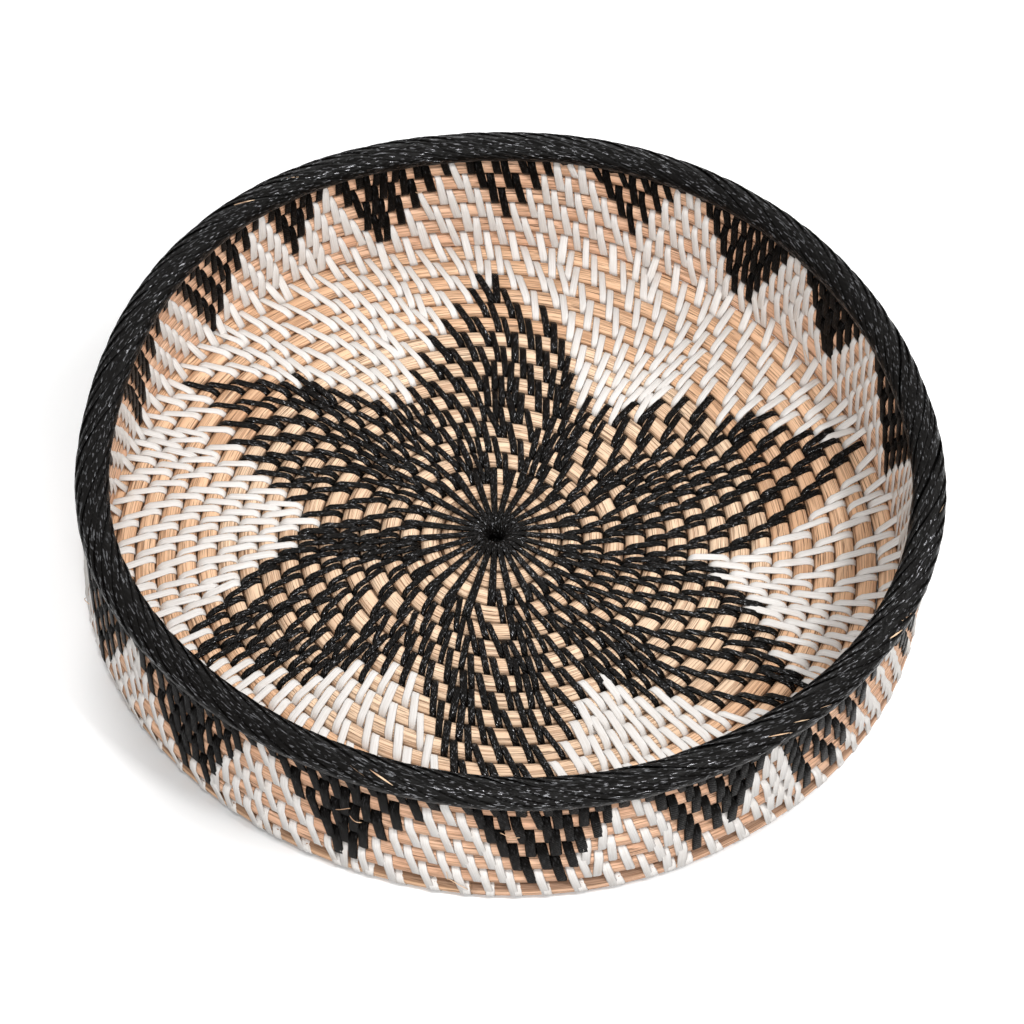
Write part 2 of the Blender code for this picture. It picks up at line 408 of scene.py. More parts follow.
# %% A finish
class Finish(Graph):
    """The graph of one material."""

    def __init__(self, name, **constants):
        self.material = bpy.data.materials.new(name)
        self.material.use_nodes = True
        super().__init__(self.material.node_tree)
        self.shader = self.tree.nodes["Principled BSDF"]
        self.set(**constants)

    def set(self, **sockets):
        for name, value in sockets.items():
            self.plug(self.shader.inputs[name.replace("_", " ")], value)
        return self.material

    def laid(self):
        """Metres along and across the strip, and the strip's own tone from 0 to 1."""
        uv = self.node("ShaderNodeUVMap", {"uv_map": "lay"}, {})
        along = self.node("ShaderNodeSeparateXYZ", {}, {0: uv}, out=0)
        over = self.node("ShaderNodeSeparateXYZ", {}, {0: uv}, out=1)
        tone = self.node("ShaderNodeAttribute", {"attribute_name": "tone"}, {}, out=2)
        return along, over, tone


# %% [markdown]
# Peeled rattan core is pale and straight-grained: fine darker fibres run along it, with small
# brown veins, and its colour drifts from yellow to pink along its length. The pattern wraps
# round the rod without a seam, because it reads the sine and cosine of the way round. Where two
# rods touch, their sides are painted darker, as painted shade in the gap between them.

# %% Rattan core
GRAIN_BROWN = (0.54, 0.32, 0.18, 1)
FIBRE_BROWN = (0.38, 0.20, 0.11, 1)
VEIN_BROWN = (0.14, 0.07, 0.035, 1)
# The last colour is painted shade for the gaps between rods
GAP_SHADE_BROWN = (0.10, 0.045, 0.02, 1)


def rattan_finish(name, pale, deep, gap_shade=0.0):
    finish = Finish(name, Roughness=0.55, Specular_IOR_Level=0.3)
    along, over, _ = finish.laid()
    angle = over * (2 * math.pi)
    x = finish.math("COSINE", angle)
    y = finish.math("SINE", angle)
    drift = finish.noise(finish.vector(along * 14, x * 0.5, y * 0.5))
    grain = finish.noise(finish.vector(along * 50, x * 9, y * 9), detail=4, roughness=0.6)
    lines = finish.range(finish.noise(finish.vector(along * 30, x * 8, y * 8)), 0.52, 0.57)
    veins = finish.range(finish.noise(finish.vector(along * 40, x * 6, y * 6 + 9)), 0.61, 0.65)
    colour = finish.mix(finish.range(drift, 0.3, 0.7), (*pale, 1), (*deep, 1))
    colour = finish.mix(finish.range(grain, 0.5, 0.75) * 0.45, colour, GRAIN_BROWN)
    colour = finish.mix(lines * 0.66, colour, FIBRE_BROWN)
    colour = finish.mix(veins * 0.8, colour, VEIN_BROWN)
    # Painted shade: the rod's sides, where it meets its neighbours, are painted a darker brown
    if gap_shade:
        beside = finish.math("ABSOLUTE", x)
        colour = finish.mix(finish.range(beside, 0.80, 0.99) * gap_shade, colour, GAP_SHADE_BROWN)
    height = grain * 0.5 - lines * 0.6 - veins * 0.6
    return finish.set(Base_Color=colour, Normal=finish.bump(height, 0.2 * MM))


# The last number is how strong the painted shade between the rods is
inner_rattan = rattan_finish("inner_rattan", (0.90, 0.665, 0.465), (0.80, 0.555, 0.37), 0.7)
floor_rattan = rattan_finish("floor_rattan", (0.88, 0.575, 0.365), (0.73, 0.435, 0.255), 0.7)
wall_rattan = rattan_finish("wall_rattan", (0.86, 0.55, 0.37), (0.73, 0.42, 0.265), 0.7)
hoop_rattan = rattan_finish("hoop_rattan", (0.82, 0.58, 0.38), (0.70, 0.46, 0.29))
rattans = (inner_rattan, floor_rattan, wall_rattan, hoop_rattan)
print("rattan finishes:", *[rattan.name for rattan in rattans])

# %% [markdown]
# The black strips are made of fibres twisted lightly together and dyed. They look almost matt,
# but here and there a fibre catches a glint of the lamps. A glossy strip would shine all over,
# so the glints are short dashes of a bright metal finish along the fibres, and the twist is
# slanting ridges in the bump. The wall shows hardly any dashes, and on the rim, where the
# strips are broader, they are longer.

# %% Black strip
BLACK_DYE = (0.0010, 0.0008, 0.0007, 1)
BLACK_FIBRE = (0.0050, 0.0042, 0.0037, 1)
GLINT = (0.12, 0.12, 0.125, 1)


def black_finish(name, ply, slant, twist, gloss, skew, shine, dash_length):
    """A black dyed strip, whose ply and dash length are in metres.

    The slant of the plies is metres along for each metre across, and the skew of the dashes
    is metres across for each metre along.
    """
    finish = Finish(name, Specular_IOR_Level=gloss)
    along, over, tone = finish.laid()
    wobble = finish.noise(finish.vector(along * 170, over * 170, tone * 9))
    phase = (along + over * slant) / ply + wobble * 2.0
    ridge = finish.math("SINE", phase * (2 * math.pi)) * 0.5 + 0.5
    beside = over + along * skew
    fibres = finish.noise(finish.vector(along / dash_length, beside * 1500, tone * 5), detail=1)
    threads = finish.noise(finish.vector(along * 60, beside * 2600, tone * 5), detail=1)
    dash = finish.range(fibres, 0.61, 0.66) * shine
    colour = finish.mix(dash, finish.mix(fibres, BLACK_DYE, BLACK_FIBRE), GLINT)
    height = ridge * twist + threads * 0.35
    return finish.set(
        Base_Color=colour, Metallic=dash, Roughness=0.36 - dash * 0.10,
        Normal=finish.bump(height, 0.3 * MM),
    )


black_strip = black_finish(
    "twisted_black", ply=1.9 * MM, slant=1.5, twist=0.8, gloss=0.10, skew=-0.25, shine=1.0,
    dash_length=2.0 * MM,
)
wall_black = black_finish(
    "wall_black", ply=1.9 * MM, slant=1.5, twist=0.5, gloss=0.03, skew=-0.1, shine=0.15,
    dash_length=2.0 * MM,
)
rim_black = black_finish(
    "rim_black", ply=3.4 * MM, slant=1.2, twist=0.2, gloss=0.08, skew=0.25, shine=1.0,
    dash_length=3.6 * MM,
)
print("black finishes:", black_strip.name, wall_black.name, rim_black.name)

# %% [markdown]
# The white strips are bleached bark: matt and warm, with creases lengthwise, darker blotches
# and a slightly different white on each strip.

# %% White strip
BARK_WHITE = (0.80, 0.775, 0.75, 1)
CREASE_WHITE = (0.66, 0.625, 0.59, 1)
BLOTCH_WHITE = (0.60, 0.51, 0.42, 1)
AGED_WHITE = (0.68, 0.63, 0.58, 1)

finish = Finish("bleached_white", Roughness=0.6, Specular_IOR_Level=0.3)
along, over, tone = finish.laid()
fibres = finish.noise(finish.vector(along * 60, over * 2600, tone * 30), detail=3, roughness=0.6)
blotch = finish.noise(finish.vector(along * 130, over * 260, tone * 17))
colour = finish.mix(finish.range(fibres, 0.35, 0.7), BARK_WHITE, CREASE_WHITE)
colour = finish.mix(finish.range(blotch, 0.5, 0.8) * 0.35, colour, BLOTCH_WHITE)
colour = finish.mix(tone * 0.22, colour, AGED_WHITE)
white_strip = finish.set(Base_Color=colour, Normal=finish.bump(fibres, 0.16 * MM))
print("white finish:", white_strip.name)

# %% [markdown]
# ## The rattan core
#
# Each length of core is a round rod along the coil, one for each solid that it stands for. It
# is a little flatter than the solid, so that the strips fit over and under it, and as wide as
# its neighbours let it be. The turns of the wall lie further apart than those of the floor.

# %% Size and place of the rods
ROD_FACE = 4.35 * MM
ROD_GAP = 0.03 * MM
CORNER_TURNS, CORNER_SWELL = 0.9, 0.3 * MM
# What lies before this turn is nobody's inner neighbour
INNERMOST = 0.8
HOOP_FROM_TURN, HOOP_SEAT = 24, 0.4 * MM


def corner_share(turn):
    """One in the corner between floor and wall, where the rods lie diagonally, else nothing."""
    near = np.clip(1 - abs(turn - FLOOR_TURNS) / CORNER_TURNS, 0, 1)
    return near * near * (3 - 2 * near)


def rod_side(turn):
    """Half the rod across its neighbours, a quarter of the way from one to the other."""
    own = coil_point(turn)
    above = np.linalg.norm(coil_point(turn + 1) - own, axis=-1)
    below = np.linalg.norm(own - coil_point(np.maximum(turn - 1, INNERMOST)), axis=-1)
    return np.where(turn > INNERMOST + 1, above + below, 2 * above) / 4 - ROD_GAP


def rod_place(turn):
    """Middle of the rod and half its size across, squeezed where the hoop lies on it."""
    centre, half = coil_point(turn), rod_side(turn)
    above = centre[..., 2] + half - (WALL_TOP - HOOP_SEAT)
    squeezed = np.clip(above, 0, None) / 2 * (turn > HOOP_FROM_TURN)
    centre[..., 2] -= squeezed
    return centre, half - squeezed


def rod_face(turn):
    """Half the rod the other way, where the stitches squeeze it."""
    return ROD_FACE + CORNER_SWELL * corner_share(turn)


def rod_frame(turn):
    """Directions towards the next turn, and out of the face that the tray's inside shows."""
    own = coil_point(turn)
    outwards, onwards = ray(turn)
    upper = unit(coil_point(turn + 1) - own)
    lower = unit(own - coil_point(np.maximum(turn, INNERMOST + 1) - 1))
    lower = np.where((turn > INNERMOST + 1)[..., None], lower, outwards)
    over = unit(upper + lower)
    return over, unit(np.cross(over, onwards))


print("a floor rod is", round(2 * float(rod_side(np.array(10.0))) / MM, 2), "mm wide")

# %% [markdown]
# A rod's stations lie at equal steps along the coil, however wide the turn is. Under the rim
# the last half turn is shaved away to a wedge.

# %% Rods
ROD_STEP = 5 * MM
TAPER_TURNS, TAPER = 0.5, 0.3
FLOOR_JOIN_TURNS = (4.5, 9.4, 13.2, 16.4, FLOOR_TURNS)
WALL_JOIN_TURNS = (21.3, 23.6)
PALE_LENGTHS = 3


def round_section(sides):
    """Corners of a round section one unit across."""
    angles = [k * math.pi / (sides / 2) for k in range(sides)]
    return [(math.cos(angle) / 2, math.sin(angle) / 2) for angle in angles]


def rod(name, node, start, end, finish):
    fine = np.linspace(start, end, 4000)
    length = np.concatenate([[0], np.cumsum(np.diff(fine) * 2 * np.pi * coil_radius(fine[1:]))])
    stations = int(length[-1] / ROD_STEP)
    turn = np.interp(np.linspace(0, length[-1], stations), length, fine)
    path, half = rod_place(turn)
    tail = np.clip((turn - (COIL_END - TAPER_TURNS)) / TAPER_TURNS, 0, 1)
    width = 2 * half
    thick = 2 * rod_face(turn) * (1 - TAPER * tail)
    piece = lay(
        name, straight_form(stations, round_section(12)), path[None],
        rod_frame(turn)[1][None], width[None], thick[None], np.zeros(1), by_width=False,
    )
    piece.data.materials.append(finish)
    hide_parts(node)


start = COIL_START
for number, end in enumerate(FLOOR_JOIN_TURNS, 1):
    finish = inner_rattan if number <= PALE_LENGTHS else floor_rattan
    rod(f"floor_rod_{number}", f"floor_core_{number}", start, end, finish)
    start = end
for number, end in enumerate((*WALL_JOIN_TURNS, COIL_END), 1):
    rod(f"wall_rod_{number}", f"wall_core_{number}", start, end, wall_rattan)
    start = end

# %% [markdown]
# ## Where each stitch goes
#
# The weaver starts with straight spokes out of the eye. From then on each stitch is sewn
# between two stitches of the turn before, so its place is the middle of theirs. As the turns
# grow, a gap becomes too wide, and it gets two stitches instead of one. One list holds them
# all in the order of sewing, each with its two neighbours below. The last round of it laces
# the finished coil to the hoop.

# %% The list of stitches
SPOKES = 27
FIRST_STITCH = 3.0
# Stitches in a turn, at radii in millimetres on the floor and at turns on the wall
COUNT_RADII = (40, 49, 59, 69, 79, 89, 99, 109, 119, 129, 139, 149, 159, 169, 179, 190)
COUNTS = (27, 31, 36, 46, 51, 56, 60, 63, 66, 69, 72, 75, 77, 81, 86, 92)
WALL_COUNT_TURNS = (19, 20.5, 22)
WALL_COUNTS = (92, 100, 108)
IN_THE_MIDDLE, A_PAIR = (0.5,), (0.34, 0.78)
# How uneven the places are, and how many times that a stitch may be off at most
PLACE_JITTER, JITTER_LIMIT = 0.35 * MM, 1.8


def stitches_in_turn(turn):
    """How many stitches the photographed tray has in this turn."""
    if turn < FLOOR_TURNS:
        return np.interp(coil_radius(np.array(turn)) / MM, COUNT_RADII, COUNTS)
    return np.interp(turn, WALL_COUNT_TURNS, WALL_COUNTS)


turns = [FIRST_STITCH + k / SPOKES for k in range(SPOKES)]
parents = [(0, 0)] * SPOKES
paired = [0] * SPOKES
wanted = placed = 0.0
at = 0
while turns[at + 1] < COIL_END:
    first, second = turns[at], turns[at + 1]
    wanted += (second - first) * stitches_in_turn((first + second) / 2 + 1)
    shares = IN_THE_MIDDLE if wanted - placed < 1.5 else A_PAIR
    placed += len(shares)
    paired += [0] if shares == IN_THE_MIDDLE else [1, 2]
    for share in shares:
        turn = first + share * (second - first) + 1
        jitter = np.clip(rng.normal(), -JITTER_LIMIT, JITTER_LIMIT) * PLACE_JITTER
        turns.append(turn + jitter / (2 * np.pi * float(coil_radius(np.array(turn)))))
        parents.append((at, at + 1))
    at += 1
turns, parents, paired = np.array(turns), np.array(parents), np.array(paired)
print(len(turns), "stitches, the last at turn", turns[-1])

# %% [markdown]
# ## Which stitches are black
#
# The weaver changes strip by one simple rule in each part. On the floor six white stitches
# open the black, and the white between them widens by about half a stitch on either side in
# every turn, so that each petal has two straight edges and a point. On the wall it runs the
# other way round: from each single white stitch under the rim the white widens downwards
# until only points of the triangles are left. The rows are numbered from the rim down.

# %% Colours of the stitches
# Turns of the six white stitches that open the black. One that comes this little before its
# root is white already
PETAL_ROOTS = (9.425, 9.595, 9.762, 9.928, 10.09, 10.247)
ROOT_EARLY = 0.008
# Degrees of a petal's two edges at EDGE_TURN, degrees of its tip, and the tip's turn
EDGE_TURN = 10
PETALS = (
    (69.5, 119, 96.5, 17.3), (127, 178, 154, 17.9), (187.5, 238, 211.5, 16.3),
    (251, 298.5, 273, 16.2), (307.5, 356.5, 332, 16.8), (0, 60, 24.5, 18.5),
)
# Degrees round the tray of the single white stitches under the rim
WHITE_AT_RIM = (
    6.8, 28.3, 48.4, 67.3, 85.4, 104, 121.5, 135.8, 156, 176, 197, 217.6, 240, 264.4,
    289.5, 309.6, 332, 349,
)
TRIANGLE_ROWS, WHITE_ROWS = 5, 2


def degrees_at(turn):
    """Degrees round the tray from its right."""
    return (270 + 360 * turn) % 360


def degrees_from(degrees, other):
    """Degrees round the tray from the other direction, from -180 to 180."""
    return (degrees - other + 180) % 360 - 180


roots = np.array(PETAL_ROOTS)
away = abs(degrees_from(degrees_at(turns)[:, None], degrees_at(roots)))
black = turns < roots[away.argmin(axis=1)] - ROOT_EARLY
for first, second, tip, tip_turn in PETALS:
    place = degrees_from(degrees_at(turns), tip)
    left_over = (tip_turn - turns) / (tip_turn - EDGE_TURN)
    inside = (place > (first - tip) * left_over) & (place < (second - tip) * left_over)
    black |= inside & (turns < tip_turn)
row = np.floor(COIL_END - turns).astype(int) + 1
black[row <= TRIANGLE_ROWS] = True
black[(row > TRIANGLE_ROWS) & (row <= TRIANGLE_ROWS + WHITE_ROWS)] = False
for angle in WHITE_AT_RIM:
    turn = ((angle + 90) / 360 - COIL_END) % 1 + COIL_END - 1
    black[int(np.argmin(abs(turns - turn)))] = False
for stitch in range(len(turns) - 1, SPOKES, -1):
    if 1 <= row[stitch] < TRIANGLE_ROWS and not black[stitch]:
        black[parents[stitch]] = False
print("black:", int(black.sum()), "white:", int((~black).sum()))

# %% [markdown]
# ## The stitches
#
# Seen across the turns, a stitch is a racetrack round two cores. It comes up out of the gap
# inside the lower turn, crosses both, goes down the gap outside the upper one and back
# underneath. It leans onwards as it goes, because each one starts right beside the stitch
# before it and ends in the middle between two.

# %% Stations of a stitch
STRIP_SECTION = ((-0.5, 0.3), (-0.37, 1.0), (0.37, 1.0), (0.5, 0.3))
LOWER, UPPER = 0, 1
STITCH_STATIONS = (
    (LOWER, -104), (LOWER, -72), (LOWER, -42), (LOWER, -14),
    (UPPER, 14), (UPPER, 42), (UPPER, 72), (UPPER, 100), (UPPER, 132), (UPPER, 166),
    (LOWER, 194), (LOWER, 226), (LOWER, 256),
)

side = np.array([side for side, _ in STITCH_STATIONS])
bend = np.radians([bend for _, bend in STITCH_STATIONS])
distance = ROD_FACE * bend + np.where(
    side == UPPER, 0, np.where(bend < np.pi / 2, -FLOOR_PITCH, FLOOR_PITCH)
)
mouth = ROD_FACE * math.pi / 2
print("a floor stitch is", round((distance[-1] - distance[0]) / MM, 1), "mm long")

# %% [markdown]
# The strip's middle lies a little inside the face of the rod, because a strip that is pulled
# tight presses in. The hoop is larger than a rod, so the lacing goes round it further out.

# %% Paths of the stitches
SINK = 0.05 * MM
SIDE_SINK = 0.2 * MM
LACED_SIDE, LACED_FACE = 3.2 * MM, 6.3 * MM


def stitch_path(turn, lean, back_lean, lift):
    """Path and outward direction of stitches whose upper crossing is at these turns."""
    offset = np.where(
        distance < mouth, lean[:, None] * distance,
        lean[:, None] * mouth + back_lean[:, None] * (distance - mouth),
    ) / FLOOR_PITCH
    place = turn[:, None] + offset / (2 * np.pi * coil_radius(turn)[:, None])
    over = unit(coil_point(place) - coil_point(place - 1))
    face = unit(np.cross(over, ray(place)[1]))
    own, own_half = rod_place(place)
    below, below_half = rod_place(place - 1)
    laced = (turn > COIL_END)[:, None]
    own = np.where(laced[..., None], rim_point(place, 0, 0), own)
    upper = side == UPPER
    centre = np.where(upper[:, None], own, below)
    across = np.where(upper, np.where(laced, LACED_SIDE, own_half - SIDE_SINK),
                      below_half - SIDE_SINK)
    outside = np.where(upper, np.where(laced, LACED_FACE, rod_face(place) - SINK),
                       rod_face(place - 1) - SINK)
    path = centre + (np.sin(bend) * across)[..., None] * over
    path = path + (np.cos(bend) * outside)[..., None] * face
    away = np.sin(bend)[:, None] * over + np.cos(bend)[:, None] * face
    return path + away * lift[..., None], away


# %% [markdown]
# On the floor a black strip is a little narrower near the eye, and a white one at the back.
# On the wall the strips are blades: widest on the outside, where each lies over the end of
# the one above it, and drawn to a point where it goes into the gap.

# %% Widths of the stitches
# Millimetres. The black grows from the first radius to the second, and the white loses a
# little towards the back.
BLACK_WIDTH, BLACK_GROWTH, GROWTH_RADII = 2.95, 0.5, (50, 130)
WHITE_WIDTH, WHITE_LESS_BACK = 3.75, 0.3
# One number for each station, on the floor as shares and on the wall in millimetres
FLOOR_SHAPE = (0.88, 0.98, 1.03, 1.03, 1.0, 0.98, 0.95, 0.95, 0.95, 0.95, 0.95, 0.9, 0.8)
WALL_BLACK = (3.2, 3.7, 3.9, 3.9, 3.8, 3.7, 3.7, 4.2, 4.7, 4.8, 4.6, 3.7, 2.4)
WALL_WHITE = (3.5, 4.1, 4.4, 4.2, 3.8, 3.3, 3.1, 3.6, 4.1, 4.2, 4.1, 3.3, 2.1)
WALL_LIFT = (0, 0, 0, 0, 0, 0.1, 0.2, 0.3, 0.35, 0.3, 0, -0.1, -0.3)
WIDTH_SPREAD, WIDTH_LIMITS = 0.07, (0.84, 1.16)
WALL_FROM_TURN = FLOOR_TURNS + 0.25

sewn = np.arange(SPOKES, len(turns))
turn = turns[sewn]
dark = black[sewn]
radius = coil_radius(turn)
facing_back = np.sin(FRONT + 2 * np.pi * turn)
growth = (radius / MM - GROWTH_RADII[0]) / (GROWTH_RADII[1] - GROWTH_RADII[0])
black_width = BLACK_WIDTH + BLACK_GROWTH * np.clip(growth, 0, 1)
floor_width = np.where(dark, black_width, WHITE_WIDTH - WHITE_LESS_BACK * facing_back)
on_wall = turn > WALL_FROM_TURN
wall_width = np.where(dark[:, None], WALL_BLACK, WALL_WHITE)
width = np.where(on_wall[:, None], wall_width, floor_width[:, None] * FLOOR_SHAPE) * MM
width = width * np.clip(rng.normal(1, WIDTH_SPREAD, len(turn)), *WIDTH_LIMITS)[:, None]
lift = np.where(on_wall[:, None], WALL_LIFT, 0.0) * MM
print("strips are", np.percentile(width / MM, (0, 50, 100)).round(2), "mm wide")

# %% [markdown]
# The lean follows from the widths. Inside, a stitch starts right beside the stitch before it.
# Outside, it ends right beside the one after it. Where a gap holds two stitches, the second
# makes room for the first.

# %% Lean of the stitches
BESIDE_GAP = 0.2 * MM
BLADE_OVERLAP = 0.9 * MM
LEAN_JITTER = 0.2
LEAN_LIMITS, BACK_LEAN_LIMITS = (0.3 * MM, 4.2 * MM), (0.3 * MM, 3.2 * MM)
# Stations where a strip passes its neighbour
INSIDE_LOWER, INSIDE_UPPER, OUTSIDE_UPPER, OUTSIDE_LOWER = 2, 5, 9, 10


def leaning(length, limits):
    """The length along the turn that stitches lean over, as uneven as hand work."""
    return np.clip(length + rng.normal(0, LEAN_JITTER, len(turn)) * MM, *limits)


clear = (width[:, INSIDE_LOWER] + width[:, INSIDE_UPPER]) / 2 + BESIDE_GAP
clear = clear * np.where(paired[sewn] == 2, 2, 1) * radius / coil_radius(turn - 1)
before = turns[parents[sewn, 0]] + 1
lean = leaning((turn - before) * 2 * np.pi * radius - clear, LEAN_LIMITS)
clear = (width[:, OUTSIDE_UPPER] + width[:, OUTSIDE_LOWER]) / 2 - BLADE_OVERLAP * on_wall
clear = clear * np.where(paired[sewn] == 1, 2, 1)
after = turns[parents[sewn, 1]] + 1
back_lean = leaning((after - turn) * 2 * np.pi * radius - clear, BACK_LEAN_LIMITS)
path, outside = stitch_path(turn, lean, back_lean, lift)
print("lean in mm:", np.percentile(lean / MM, (5, 50, 95)))
print("lean outside in mm:", np.percentile(back_lean / MM, (5, 50, 95)))

# %% [markdown]
# On the right-hand wall the black strips lie fuller inside and leave hardly any core bare. The
# wider black is partly painted shade, standing for the shade that the rim casts on that wall.

# %% Fuller black on the right
FULLER = 0.55
FULLER_STATIONS = np.array((1, 1, 1, 1, 1, 1, 0.5, 0, 0, 0, 0, 0, 0))
# From nothing to full between these two distances to the right, as shares of the radius
RIGHT_FROM, RIGHT_TO = 0.6, 0.9

to_right = np.clip(
    (np.cos(FRONT + 2 * np.pi * turn) - RIGHT_FROM) / (RIGHT_TO - RIGHT_FROM), 0, 1
)
fuller = to_right * dark * on_wall
# Partly painted shade: black widened where the right-hand wall lies in the rim's shade
width = width * (1 + FULLER * fuller[:, None] * FULLER_STATIONS)
print("fuller strips:", int((fuller > 0).sum()))

# %% [markdown]
# The strips of the floor and the wall differ in shape and finish, so each colour there is a
# piece of its own, and so is the lacing. The black strips are thicker than the bark, and
# underneath the floor both are pressed flat.

# %% Five pieces of stitches
STRIP_FORM = straight_form(len(STITCH_STATIONS), STRIP_SECTION)
# Degrees round the rods where the underside starts, and the share of the thickness there
UNDER_BEND, PRESSED_FLAT = 110, 0.55

lacing = turn > COIL_END
underneath = (bend > np.radians(UNDER_BEND)) & ~on_wall[:, None]
under = np.where(underneath, PRESSED_FLAT, 1.0)
for name, chosen, thick, finish, slot in (
    ("black_floor_stitches", dark & ~on_wall, 0.85, black_strip, "black_strip"),
    ("white_floor_stitches", ~dark & ~on_wall, 0.5, white_strip, "white_strip"),
    ("black_wall_stitches", dark & on_wall & ~lacing, 0.75, wall_black, "black_strip"),
    ("white_wall_stitches", ~dark & on_wall, 0.5, white_strip, "white_strip"),
    ("rim_lacing", lacing, 0.75, wall_black, "black_strip"),
):
    piece = lay(
        name, STRIP_FORM, path[chosen], outside[chosen], width[chosen],
        thick * MM * under[chosen], rng.random(chosen.sum()),
    )
    piece.data.materials.append(finish)

# %% [markdown]
# ## The eye and its spokes
#
# The start of the coil is hidden under spokes that run straight out of the little hole, over
# three turns of core and back underneath. They crowd together at the hole and fan out. Seen
# from the side all of them have one outline, which only reaches further out for some.

# %% Outline of the spokes
EYE = np.array([-EYE_LEFT, EYE_BACK, 0])
# Millimetres out from the middle of the hole, and up. On the way back underneath, the heights
# are taken off SPOKE_MIRROR, down to SPOKE_LOWEST
SPOKE_START = (
    (2.9, 2.6), (4.0, 5.4), (5.0, 8.0), (6.4, 9.7), (9.4, 10.1), (14, 9.8),
)
SPOKE_END = (0.4, 1.6)
SPOKE_MIRROR, SPOKE_LOWEST = 9.4, 0.3
HALFWAY, HALFWAY_OVER, HALFWAY_UNDER = 0.6, 0.15 * MM, 0.4 * MM
CROWN_BENDS = (0, 35, 65, 95, 130, 165)
SPOKE_ASIDE = 0.35 * MM

spokes = turns[:SPOKES]
end_turn = spokes + SPOKE_ASIDE / (2 * np.pi * coil_radius(spokes))
heading = coil_point(end_turn) - EYE
heading[:, 2] = 0
reach = np.linalg.norm(heading, axis=1)
heading = heading / reach[:, None]
outline = [(out * MM, height * MM) for out, height in SPOKE_START]
outline.append((HALFWAY * reach, CORE_RISE + ROD_FACE + HALFWAY_OVER))
for angle in np.radians(CROWN_BENDS):
    outline.append((
        reach + (rod_side(end_turn) - SIDE_SINK) * np.sin(angle),
        CORE_RISE + ROD_FACE * np.cos(angle),
    ))
outline.append((HALFWAY * reach, HALFWAY_UNDER))
for out, height in SPOKE_START[:0:-1]:
    outline.append((out * MM, max(SPOKE_MIRROR - height, SPOKE_LOWEST) * MM))
outline.append((SPOKE_END[0] * MM, SPOKE_END[1] * MM))
out = np.stack([np.broadcast_to(out, SPOKES) for out, _ in outline], 1)
height = np.stack([np.broadcast_to(height, SPOKES) for _, height in outline], 1)
print("spokes reach out", round(reach.min() / MM, 1), "to", round(reach.max() / MM, 1), "mm")

# %% [markdown]
# Near the hole there is no room for all the spokes side by side, so they lie at three heights
# and are as narrow as their share of the circle, and a little more.

# %% Spokes
LAYERS, LAYER_STEP, LAYERED_WITHIN = 3, 0.12 * MM, 20 * MM
CROWDED_OVERLAP = 0.5 * MM
SPOKE_WIDTH, SPOKE_FLARE, SPOKE_THICK = 2.3 * MM, 0.045, 0.8 * MM

layer = (np.arange(SPOKES) % LAYERS)[:, None]
height = height + layer * LAYER_STEP * (out < LAYERED_WITHIN)
spoke_path = EYE + heading[:, None] * out[..., None]
spoke_path[..., 2] = height
flow = np.gradient(np.stack([out, height], -1), axis=1)
spoke_outside = -heading[:, None] * flow[..., 1:]
spoke_outside[..., 2] = flow[..., 0]
spoke_outside = unit(spoke_outside)
spoke_width = np.minimum(
    2 * np.pi * out / SPOKES + CROWDED_OVERLAP, SPOKE_WIDTH + SPOKE_FLARE * out
)
piece = lay(
    "eye_spokes", straight_form(out.shape[1], STRIP_SECTION), spoke_path, spoke_outside,
    spoke_width, SPOKE_THICK, rng.random(SPOKES),
)
piece.data.materials.append(black_strip)
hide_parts("centre_eye")

# %% [markdown]
# ## The rim
#
# A thick hoop lies on the last turn, and long strips are wound over it. Where two of them
# part, the eye must not see through to the hoop, so a dark tube a little larger than the hoop
# stands for the lower layer of the winding.

# %% Hoop
HOOP_STATIONS = 241

tube_form = straight_form(HOOP_STATIONS, round_section(16))
tube_turn = np.linspace(0, 1, HOOP_STATIONS)
above = np.broadcast_to([0, 0, 1.0], (HOOP_STATIONS, 3))
# Millimetres up from the middle of the rim, and half the width and height
for name, node, up, half_width, half_height, finish, slot in (
    ("rim_hoop", "rim_core", 0, 5.9, 3.6, hoop_rattan, "rattan_core"),
    ("rim_under_tube", None, -1.0, 7.1, 5.3, rim_black, "black_strip"),
):
    piece = lay(
        name, tube_form, rim_point(tube_turn, 0, up * MM)[None], above[None],
        2 * half_width * MM, 2 * half_height * MM, np.zeros(1), by_width=False,
    )
    piece.data.materials.append(finish)
    if node:
        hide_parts(node)

# %% [markdown]
# Long black strips run round the rim at a shallow angle. Each comes up on the inside, crosses
# the top and goes down on the outside more than a hand's width further on, so that at any
# place seven or eight of them lie side by side. Each rises and sinks a little on its way, as
# its neighbours let it.

# %% Floats of the rim
FLOATS = 104
FLOAT_TURN = 26 / 360
FLOAT_SWEEP = 138
FLOAT_STATIONS = 30
FLOAT_WIDTH, FLOAT_THICK = 5.4 * MM, 0.5 * MM
FLOAT_SECTION = ((-0.5, -0.5), (-0.28, 0.6), (0.28, 0.6), (0.5, -0.5))
RIM_HALF_WIDTH = 7.45 * MM
RIM_HALF_HEIGHT = 5.0 * MM
# How uneven the floats are: their places as a share of their spacing, their way over the rim
# in radians, their height in millimetres, by itself and in waves, and their width as a share
PLACE_SPREAD, OVER_SPREAD = 0.08, 0.03
LIFT_SPREAD, WAVE_LIFT, WAVE_RADIANS, WAVE_START = 0.05, 0.07, 9, 6
FLOAT_SPREAD, FLOAT_LIMITS = 0.06, (0.88, 1.12)


def rim_surface(turn, over_angle, lift):
    """Points on the bound rim, with the directions away from it."""
    wide, tall = RIM_HALF_WIDTH + lift, RIM_HALF_HEIGHT + lift
    point = rim_point(turn, wide * np.sin(over_angle), tall * np.cos(over_angle))
    away = ray(turn)[0] * np.sin(over_angle)[..., None]
    away[..., 2] = np.cos(over_angle)
    return point, unit(away)


